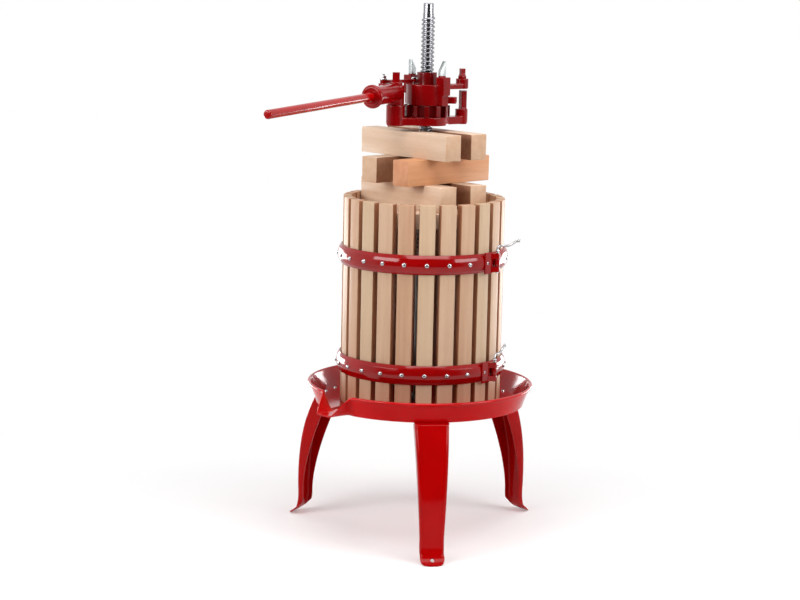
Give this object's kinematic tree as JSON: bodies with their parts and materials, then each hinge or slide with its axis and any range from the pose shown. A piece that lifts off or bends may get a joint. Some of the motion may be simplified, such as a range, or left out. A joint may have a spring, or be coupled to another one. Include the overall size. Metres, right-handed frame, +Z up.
{
  "type": "grape press",
  "caption": "Ratchet-head basket press: a slatted beech basket in two hooped halves on a three-legged red tray with a spout, a fixed screw, press blocks and a pawl-driven head.",
  "frame": {"origin": "on the floor under the screw's axis, at the middle of the circle through the three foot holes", "axes": "+Z up along the screw, -Y towards the front leg's side, +X to the right; millimetre source, metres here"},
  "size_m": [0.6228, 0.8618, 1.27],
  "materials": {
    "red_enamel": "glossy red enamel on pressed sheet steel",
    "red_casting": "glossy red enamel on a casting",
    "red_bar": "glossy red enamel on steel bar",
    "zinc": "bright zinc plate",
    "screw_steel": "turned and oiled steel",
    "beech": "planed bare beech",
    "dark_beech": "planed bare beech, darker heartwood",
    "plate_beech": "planed bare beech",
    "bronze": "plain bronze"
  },
  "bodies": {
    "frame": {"tray": "red_enamel", "front_leg": "red_enamel", "right_leg": "red_enamel", "left_leg": "red_enamel", "leg_bolts": "zinc", "screw": "screw_steel", "screw_lock_nut": "zinc"},
    "rear_basket": {"rear_upper_hoop": "red_enamel", "rear_lower_hoop": "red_enamel", "rear_hoop_screws": "zinc", "rear_slat_1": "beech", "rear_slat_2": "beech", "rear_slat_3": "beech", "rear_slat_4": "beech", "rear_slat_5": "beech", "rear_slat_6": "beech", "rear_slat_7": "beech", "rear_slat_8": "beech", "rear_slat_9": "beech", "rear_slat_10": "beech", "rear_slat_11": "beech", "rear_slat_12": "beech"},
    "front_basket": {"front_upper_hoop": "red_enamel", "front_lower_hoop": "red_enamel", "front_hoop_screws": "zinc", "front_slat_1": "beech", "front_slat_2": "beech", "front_slat_3": "beech", "front_slat_4": "beech", "front_slat_5": "beech", "front_slat_6": "beech", "front_slat_7": "beech", "front_slat_8": "beech", "front_slat_9": "beech", "front_slat_10": "beech", "front_slat_11": "beech", "front_slat_12": "beech"},
    "right_upper_pin": {"right_upper_pin": "zinc"},
    "right_lower_pin": {"right_lower_pin": "zinc"},
    "left_upper_pin": {"left_upper_pin": "zinc"},
    "left_lower_pin": {"left_lower_pin": "zinc"},
    "press_stack": {"front_press_plate": "plate_beech", "rear_press_plate": "plate_beech", "top_front_block": "beech", "top_rear_block": "beech", "middle_left_block": "beech", "middle_right_block": "dark_beech", "bottom_front_block": "beech", "bottom_rear_block": "beech"},
    "thrust_head": {"thrust_body": "red_casting", "thrust_washer": "bronze"},
    "ratchet_nut": {"ratchet_nut": "red_casting"},
    "pawl_ring": {"pawl_ring": "red_casting", "ring_bolts": "red_casting"},
    "right_pawl": {"right_pawl": "zinc"},
    "left_pawl": {"left_pawl": "zinc"},
    "lever": {"lever_socket": "red_casting", "pivot_bolts": "red_casting"},
    "drive_link": {"drive_link": "red_casting"},
    "handle_bar": {"handle_bar": "red_bar"}
  },
  "joints": [
    {"name": "head_travel", "type": "slide", "parent": "frame", "child": "thrust_head", "axis": [0, 0, 1], "range_m": [-0.16, 0.04]},
    {"name": "nut_spin", "type": "hinge", "parent": "thrust_head", "child": "ratchet_nut", "pos_m": [0, 0, 1.018], "axis": [0, 0, 1], "range_deg": [-5760, 1440]},
    {"name": "stack_travel", "type": "slide", "parent": "frame", "child": "press_stack", "axis": [0, 0, 1], "range_m": [-0.16, 0.04]},
    {"name": "lever_swing", "type": "hinge", "parent": "thrust_head", "child": "lever", "pos_m": [-0.07213, -0.04865, 1.056], "axis": [0, 0, 1], "range_deg": [-60, 0]},
    {"name": "ring_turn", "type": "hinge", "parent": "thrust_head", "child": "pawl_ring", "pos_m": [0, 0, 1.055], "axis": [0, 0, 1], "range_deg": [-60, 0]},
    {"name": "link_turn", "type": "hinge", "parent": "lever", "child": "drive_link", "pos_m": [-0.10269, -0.03375, 1.085], "axis": [0, 0, 1], "range_deg": [0, 60]},
    {"name": "right_pawl_lift", "type": "slide", "parent": "pawl_ring", "child": "right_pawl", "axis": [0, 0, 1], "range_m": [-0.012, 0.01]},
    {"name": "left_pawl_lift", "type": "slide", "parent": "pawl_ring", "child": "left_pawl", "axis": [0, 0, 1], "range_m": [-0.012, 0.01]},
    {"name": "handle_pull", "type": "slide", "parent": "lever", "child": "handle_bar", "axis": [-0.4382, -0.8985, -0.0262], "range_m": [0, 0.06]},
    {"name": "basket_lift", "type": "slide", "parent": "frame", "child": "rear_basket", "axis": [0, 0, 1], "range_m": [0, 0.05]},
    {"name": "basket_open", "type": "hinge", "parent": "rear_basket", "child": "front_basket", "pos_m": [-0.17429, 0.12069, 0.545], "axis": [0, 0, -1], "range_deg": [0, 8]},
    {"name": "right_upper_pin_pull", "type": "slide", "parent": "front_basket", "child": "right_upper_pin", "axis": [0, 0, 1], "range_m": [0, 0.055]},
    {"name": "right_lower_pin_pull", "type": "slide", "parent": "front_basket", "child": "right_lower_pin", "axis": [0, 0, 1], "range_m": [0, 0.055]},
    {"name": "left_upper_pin_pull", "type": "slide", "parent": "rear_basket", "child": "left_upper_pin", "axis": [0, 0, 1], "range_m": [0, 0.055]},
    {"name": "left_lower_pin_pull", "type": "slide", "parent": "rear_basket", "child": "left_lower_pin", "axis": [0, 0, 1], "range_m": [0, 0.055]}
  ],
  "couplings": [
    {"joint": "nut_spin", "follows": "head_travel", "rad_per_m": 628.32},
    {"joint": "stack_travel", "follows": "head_travel", "ratio": 1},
    {"joint": "ring_turn", "follows": "lever_swing", "ratio": 1},
    {"joint": "link_turn", "follows": "lever_swing", "ratio": -1}
  ]
}
